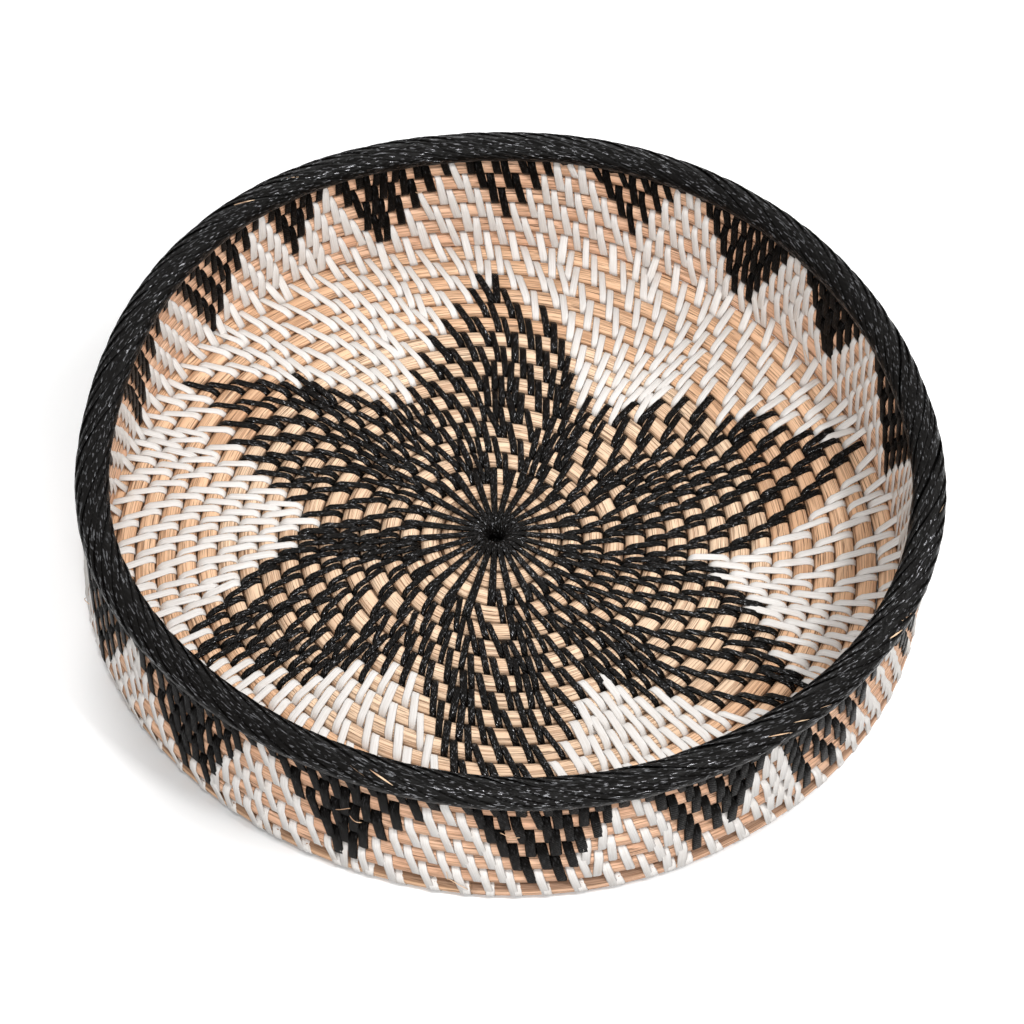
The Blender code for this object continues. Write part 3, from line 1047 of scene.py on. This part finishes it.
share = np.linspace(0, 1, FLOAT_STATIONS)[None, :]
float_turn = (np.arange(FLOATS) + rng.normal(0, PLACE_SPREAD, FLOATS))[:, None] / FLOATS
float_turn = float_turn + FLOAT_TURN * share
over_angle = np.radians(-FLOAT_SWEEP + 2 * FLOAT_SWEEP * share)
over_angle = over_angle + rng.normal(0, OVER_SPREAD, FLOATS)[:, None]
lift = rng.normal(0, LIFT_SPREAD, FLOATS)[:, None] + WAVE_LIFT * np.sin(
    WAVE_RADIANS * share + rng.random(FLOATS)[:, None] * WAVE_START
)
float_path, float_outside = rim_surface(float_turn, over_angle, lift * MM)
float_width = FLOAT_WIDTH * np.clip(rng.normal(1, FLOAT_SPREAD, FLOATS), *FLOAT_LIMITS)[:, None]
piece = lay(
    "rim_floats", straight_form(FLOAT_STATIONS, FLOAT_SECTION), float_path, float_outside,
    float_width, FLOAT_THICK, rng.random(FLOATS),
)
piece.data.materials.append(rim_black)
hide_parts("rim_binding")

# %% [markdown]
# At a few places the floats have parted and a sliver of the pale hoop shows. A sliver lies
# along the floats beside it, so it takes about the same share of their way round the tray as
# of their way over the rim, and it is drawn almost to a point at both ends.

# %% Slivers where the hoop shows
# Degrees round the tray, degrees outwards over the rim, and length, where 1 is SLIVER_SHARE of
# a float's way round and SLIVER_SWEEP degrees over the rim
SLIVERS = (
    (336.5, 50, 0.7), (333.5, 56, 0.6), (321.5, 60, 1.2), (318, 58, 0.7), (314, 48, 0.6),
    (310.5, 50, 0.8), (355.5, 50, 0.6), (353, 28, 0.4), (129.5, 14, 1.1), (136.5, 0, 0.7),
    (252, 28, 1.4), (254, 38, 1.6), (257.5, 36, 0.8),
)
SLIVER_SHARE, SLIVER_SWEEP = 0.16, 42
SLIVER_STATIONS, SLIVER_POINTED = 7, 0.9
SLIVER_WIDTH, SLIVER_THICK, SLIVER_LIFT = 1.1 * MM, 0.3 * MM, 0.24 * MM

place, tilt, long = np.array(SLIVERS, float).T[..., None]
share = np.linspace(-0.5, 0.5, SLIVER_STATIONS)[None, :]
sliver_turn = (place - 270) / 360 + SLIVER_SHARE * FLOAT_TURN * long * share
sliver_path, sliver_outside = rim_surface(
    sliver_turn, np.radians(tilt + SLIVER_SWEEP * long * share), SLIVER_LIFT
)
sliver_width = SLIVER_WIDTH * np.cos(np.pi * share * SLIVER_POINTED)
piece = lay(
    "rim_slivers", straight_form(SLIVER_STATIONS, FLOAT_SECTION), sliver_path, sliver_outside,
    sliver_width, SLIVER_THICK, rng.random(len(SLIVERS)),
)
piece.data.materials.append(hoop_rattan)

# %% [markdown]
# ## Loose fibres
#
# Here and there a fibre of the core has come away and stands out from the wall in a thin
# curl. They are few, but the eye finds them.

# %% Loose fibres
FIBRES, FIBRE_STATIONS = 22, 9
OUTER_SHARE = 0.75
# Millimetres: height on the wall, drift onwards, fall, and how far a fibre stands off
HEIGHTS, DRIFTS, FALLS, STANDS = (14, 62), (-9, 9), (-7, 4), (0.5, 1.8)
WALL_FACE = 5.2
# The curl is this share of half a wave, and the fall grows with this power of the length
CURL, FALL_POWER = 0.8, 1.5
FIBRE_WIDTH, FIBRE_THICK = 0.3 * MM, 0.25 * MM

start = (rng.random(FIBRES) * 360 - 270) / 360
height = rng.uniform(*HEIGHTS, FIBRES)
outer = rng.random(FIBRES) < OUTER_SHARE
share = np.linspace(0, 1, FIBRE_STATIONS)[None, :]
drift = rng.uniform(*DRIFTS, FIBRES)[:, None] * share
fall = rng.uniform(*FALLS, FIBRES)[:, None] * share**FALL_POWER
stand = WALL_FACE + rng.uniform(*STANDS, FIBRES)[:, None] * np.sin(np.pi * share * CURL)
reach = np.where(outer[:, None], stand, -stand) * MM
fibre_turn = start[:, None] + drift * MM / (2 * np.pi * WALL_RADIUS)
fibre_path = rim_point(fibre_turn, reach, (height[:, None] + fall) * MM - RIM_HEIGHT)
fibre_away = ray(fibre_turn)[0] * np.where(outer, 1, -1)[:, None, None]
piece = lay(
    "loose_fibres", straight_form(FIBRE_STATIONS, FLOAT_SECTION), fibre_path, fibre_away,
    FIBRE_WIDTH, FIBRE_THICK, rng.random(FIBRES),
)
piece.data.materials.append(hoop_rattan)

# %% [markdown]
# ## Stage
#
# The tray stands on a white ground that fades into a white surround. The camera sees both as
# white, and so do the reflections in the strips, but the light that they throw on the tray is
# only as strong as in a pale room. The ground keeps the tray's shadow. Its colour is lower at
# the lower left of the tray, where the photograph's shadow is deepest.

# %% Ground
GROUND_SIZE, GROUND_DROP = 8, 0.3 * MM
GROUND_GREY, GROUND_GLOW = 0.28, 0.05
SHADOW_SPOT = (-0.080, -0.089, 0)
# How far from the spot the lower colour ends and the full one starts, and both colours
SHADOW_NEAR, SHADOW_FAR, SHADOW_GREY, FULL_WHITE = 0.078, 0.118, 0.60, 1.05


def seen_directly(graph):
    """One for what the camera sees, also in gloss or through glass, and nothing for light."""
    camera, glossy, through = [
        graph.node("ShaderNodeLightPath", {}, {}, out=f"Is {kind} Ray")
        for kind in ("Camera", "Glossy", "Transmission")
    ]
    return graph.math("MAXIMUM", graph.math("MAXIMUM", camera, glossy), through)


bpy.ops.object.select_all(action="DESELECT")
bpy.ops.mesh.primitive_plane_add(size=GROUND_SIZE, location=(0, 0, -GROUND_DROP))
ground = bpy.context.object
ground.name = "ground"
finish = Finish("ground", Base_Color=(*[GROUND_GREY] * 3, 1), Roughness=0.9)
spot = finish.node("ShaderNodeTexCoord", {}, {}, out="Object")
aside = finish.node(
    "ShaderNodeVectorMath", {"operation": "DISTANCE"}, {0: spot, 1: SHADOW_SPOT}, out="Value"
)
pale = finish.range(aside, SHADOW_NEAR, SHADOW_FAR, SHADOW_GREY, FULL_WHITE)
lit = finish.node("ShaderNodeBsdfDiffuse", {}, {"Color": finish.vector(pale, pale, pale)})
glow = finish.node("ShaderNodeEmission", {}, {"Color": (1, 1, 1, 1), "Strength": GROUND_GLOW})
white_ground = finish.node("ShaderNodeAddShader", {}, {0: glow, 1: lit})
grey_ground = Value(finish, finish.shader.outputs[0])
surface = finish.node(
    "ShaderNodeMixShader", {}, {0: seen_directly(finish), 1: grey_ground, 2: white_ground}
)
finish.plug(finish.tree.nodes["Material Output"].inputs["Surface"], surface)
ground.data.materials.append(finish.material)
print("the ground lies", GROUND_DROP / MM, "mm under the tray")

# %% [markdown]
# The sky is the soft light that fills the shadows. It is brighter above than at the horizon,
# as in a room with a lit ceiling.

# %% Sky
SKY_LOW, SKY_HIGH = 0.22, 0.65

studio = bpy.data.worlds.new("studio")
bpy.context.scene.world = studio
studio.use_nodes = True
studio.node_tree.nodes.clear()
world = Graph(studio.node_tree)
direction = world.node("ShaderNodeTexCoord", {}, {}, out="Generated")
rise = world.node("ShaderNodeSeparateXYZ", {}, {0: direction}, out="Z")
strength = world.node(
    "ShaderNodeMapRange", {}, {0: rise, 1: -0.1, 2: 0.9, 3: SKY_LOW, 4: SKY_HIGH}
)
sky = world.node("ShaderNodeBackground", {}, {"Color": (1, 1, 1, 1), "Strength": strength})
white = world.node("ShaderNodeBackground", {}, {"Color": (1, 1, 1, 1), "Strength": 1.0})
surround = world.node("ShaderNodeMixShader", {}, {0: seen_directly(world), 1: sky, 2: white})
output = world.tree.nodes.new("ShaderNodeOutputWorld")
world.plug(output.inputs["Surface"], surround)
print("the sky is", SKY_LOW, "at the horizon and", SKY_HIGH, "above")

# %% [markdown]
# Two small lamps high in front make the glints on the black strips. A broad low one lights the
# outside of the wall, one at the back right sends the shadow to the lower left, and a broad
# one behind keeps the back of the tray from going dark.

# %% Lamps
# Name, place and width in metres, and power in watts. All of them point at the tray
LAMPS = (
    ("key", (0.79, -0.67, 1.77), 0.2, 15),
    ("high", (-0.18, -0.74, 1.90), 0.2, 12),
    ("front", (0.1, -1.65, 0.85), 0.8, 13),
    ("back", (1.1, 0.65, 1.3), 0.5, 8),
    ("behind", (-0.1, 1.8, 0.7), 1.0, 8),
)

for name, place, size, power in LAMPS:
    data = bpy.data.lights.new(name, "AREA")
    data.size = size
    data.energy = power
    lamp = bpy.data.objects.new(name, data)
    lamp.location = place
    lamp.rotation_euler = (-Vector(place)).to_track_quat("-Z", "Y").to_euler()
    bpy.context.scene.collection.objects.link(lamp)
bpy.context.scene.view_settings.view_transform = "Standard"
print("lamps:", len(LAMPS), "of", sum(power for *_, power in LAMPS), "W in all")
